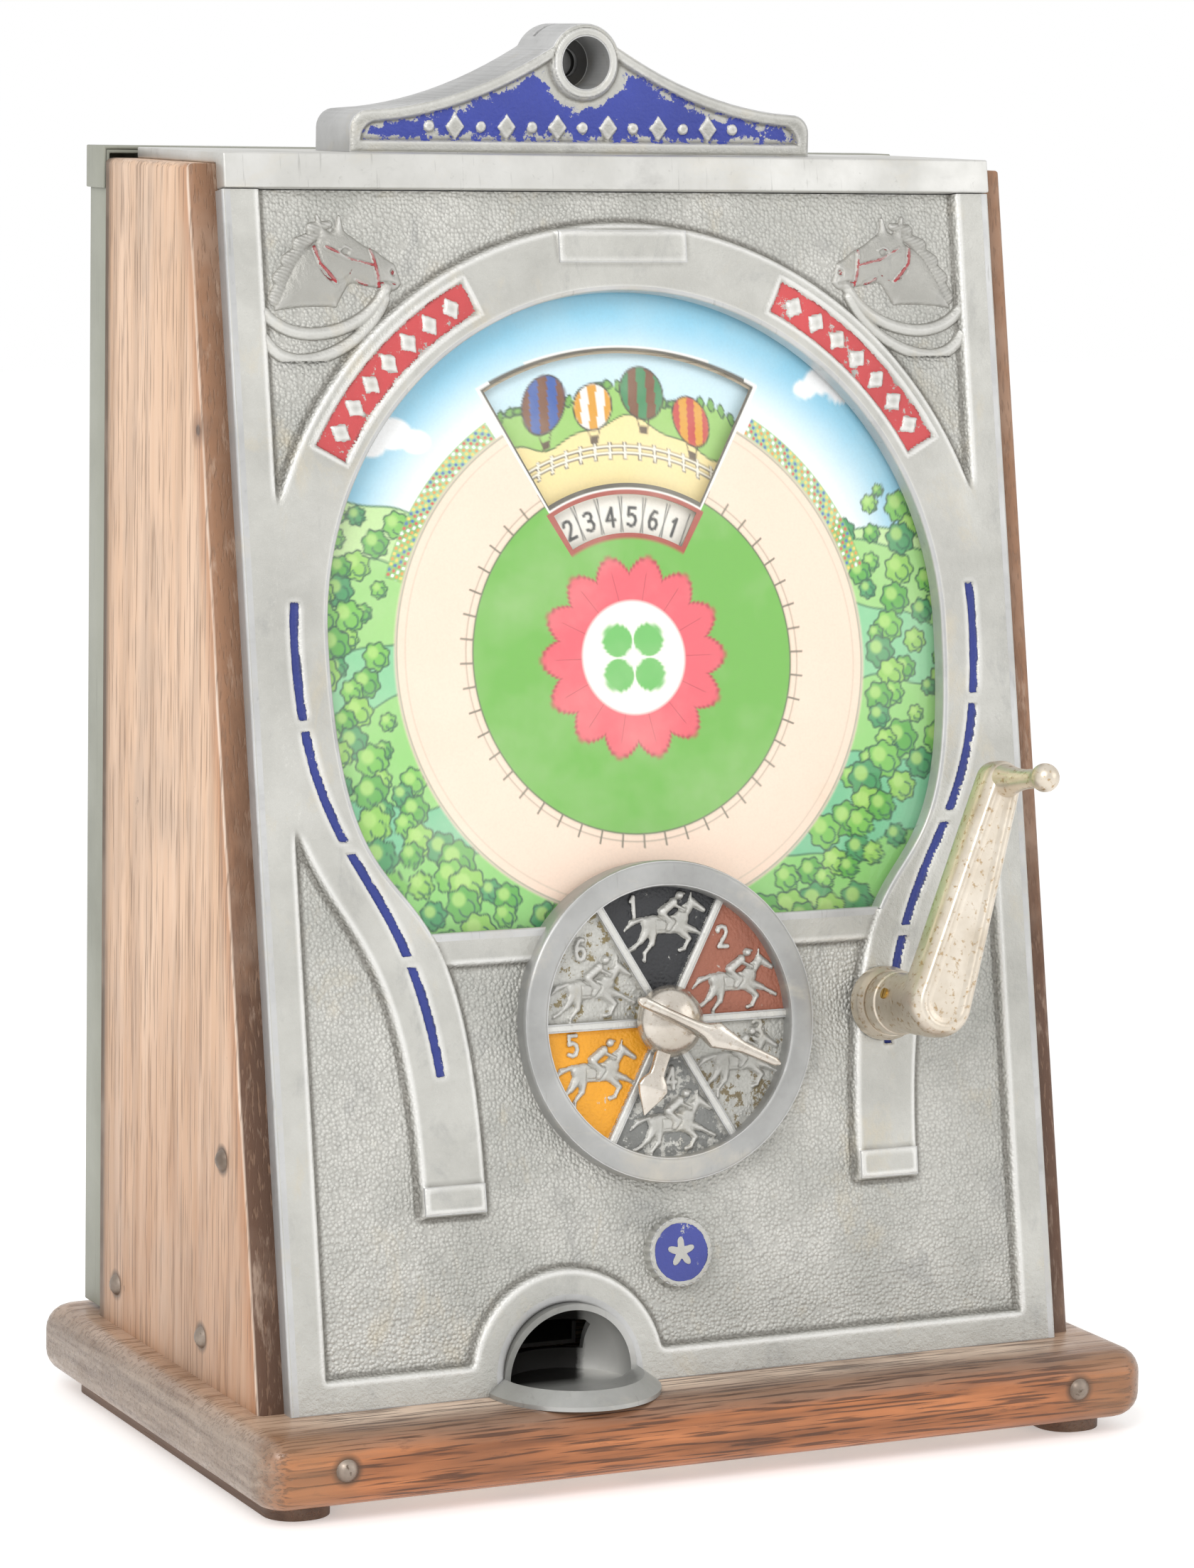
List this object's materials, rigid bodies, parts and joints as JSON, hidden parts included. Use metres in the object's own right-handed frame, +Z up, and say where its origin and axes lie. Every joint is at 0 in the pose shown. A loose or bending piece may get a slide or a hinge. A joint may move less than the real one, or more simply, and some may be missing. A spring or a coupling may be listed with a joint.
{
  "type": "trade stimulator",
  "caption": "Counter-top trade stimulator with an oak cabinet, leaning cast front with a horseshoe window, selector dial, pull handle and payout cup",
  "frame": {"origin": "Under the middle of the machine's bounding box, on the surface that the skids stand on.", "axes": "+Z up, the front faces -Y, +X is to the right of someone facing the front."},
  "size_m": [0.352, 0.2343, 0.5095],
  "materials": {
    "oak_stained": "satin",
    "oak_plain": "matte",
    "cast_aluminium": "worn",
    "nickel_plate": "worn",
    "steel": "satin",
    "sheet_steel": "satin",
    "brass": "satin",
    "window_glass": "gloss",
    "printed_disc": "satin",
    "printed_card": "matte",
    "door_paint": "satin"
  },
  "bodies": {
    "case": {"base_board": "oak_stained", "skid_left": "oak_plain", "skid_right": "oak_plain", "base_screws": "steel", "side_board_left": "oak_stained", "side_board_right": "oak_stained", "side_screws": "steel", "front_casting": "cast_aluminium", "top_casting": "cast_aluminium", "coin_head": "cast_aluminium", "coin_cup": "cast_aluminium", "dial_glass": "window_glass", "print_card": "printed_card", "glass_clips": "steel", "mechanism_plate": "sheet_steel", "mechanism_posts": "steel", "post_nuts": "steel", "disc_bush": "brass", "handle_bush": "brass", "shaft_bush": "brass", "selector_bush": "brass", "selector_spring": "steel", "detent_stud": "steel", "spring_anchor": "steel", "return_spring": "steel", "coin_chute": "sheet_steel", "trip_pin": "steel", "flap_pin": "steel", "payout_trough": "sheet_steel", "cash_box": "sheet_steel", "lock_keeper": "steel", "hinge_leaf_case": "steel", "hinge_pins": "steel"},
    "handle": {"handle_arm": "nickel_plate", "handle_collar": "nickel_plate", "handle_set_screw": "brass", "handle_shaft": "steel", "drive_sector": "steel"},
    "pinion": {"drive_pinion": "brass"},
    "pawl": {"drive_pawl": "steel"},
    "disc": {"reveal_disc": "printed_disc", "disc_hub": "steel", "hub_nut": "steel", "drive_ratchet": "steel", "disc_arbor": "steel", "star_wheel": "brass", "arbor_collar": "steel"},
    "detent": {"detent_lever": "steel"},
    "selector": {"selector_pointer": "nickel_plate", "selector_shaft": "steel", "selector_wheel": "brass"},
    "trip": {"coin_trip": "brass"},
    "flap": {"payout_flap": "sheet_steel"},
    "door": {"rear_door": "door_paint", "door_cap": "door_paint", "hinge_leaf_door": "steel", "lock_barrel": "brass"},
    "lock": {"lock_cam": "steel"}
  },
  "joints": [
    {"name": "handle_pull", "type": "hinge", "parent": "case", "child": "handle", "pos_m": [0.088, -0.05361, 0.15746], "axis": [0, 0.9848, -0.1736], "range_deg": [0, 50], "stiffness_Nm_per_rad": 0.9, "springref_deg": -28.65, "deforming": ["return_spring"]},
    {"name": "pinion_spin", "type": "hinge", "parent": "case", "child": "pinion", "pos_m": [0, -0.00445, 0.28079], "axis": [0, 0.9848, -0.1736], "range_deg": [-365, 5]},
    {"name": "pawl_swing", "type": "hinge", "parent": "pinion", "child": "pawl", "pos_m": [-0.00434, -0.00805, 0.30643], "axis": [0, -0.9848, 0.1736], "range_deg": [0, 8], "stiffness_Nm_per_rad": 0.002, "springref_deg": -11.46},
    {"name": "disc_spin", "type": "hinge", "parent": "case", "child": "disc", "pos_m": [0, -0.01725, 0.28305], "axis": [0, 0.9848, -0.1736], "continuous": true},
    {"name": "detent_swing", "type": "hinge", "parent": "case", "child": "detent", "pos_m": [0.052, 0.01638, 0.24056], "axis": [0, -0.9848, 0.1736], "range_deg": [0, 10], "stiffness_Nm_per_rad": 0.2, "springref_deg": -8.59},
    {"name": "selector_turn", "type": "hinge", "parent": "case", "child": "selector", "pos_m": [0, -0.05379, 0.15647], "axis": [0, 0.9848, -0.1736], "continuous": true},
    {"name": "trip_swing", "type": "hinge", "parent": "case", "child": "trip", "pos_m": [0, 0.05696, 0.3314], "axis": [1, 0, 0], "range_deg": [0, 25]},
    {"name": "flap_swing", "type": "hinge", "parent": "case", "child": "flap", "pos_m": [-0.046, 0.05716, 0.1274], "axis": [-1, 0, 0], "range_deg": [0, 48]},
    {"name": "door_swing", "type": "hinge", "parent": "case", "child": "door", "pos_m": [0.1665, 0.08866, 0.2464], "axis": [0, 0, -1], "range_deg": [0, 110]},
    {"name": "lock_turn", "type": "hinge", "parent": "door", "child": "lock", "pos_m": [-0.126, 0.07966, 0.2614], "axis": [0, -1, 0], "range_deg": [0, 90]}
  ],
  "couplings": [
    {"joint": "pinion_spin", "follows": "handle_pull", "ratio": -7.2}
  ]
}
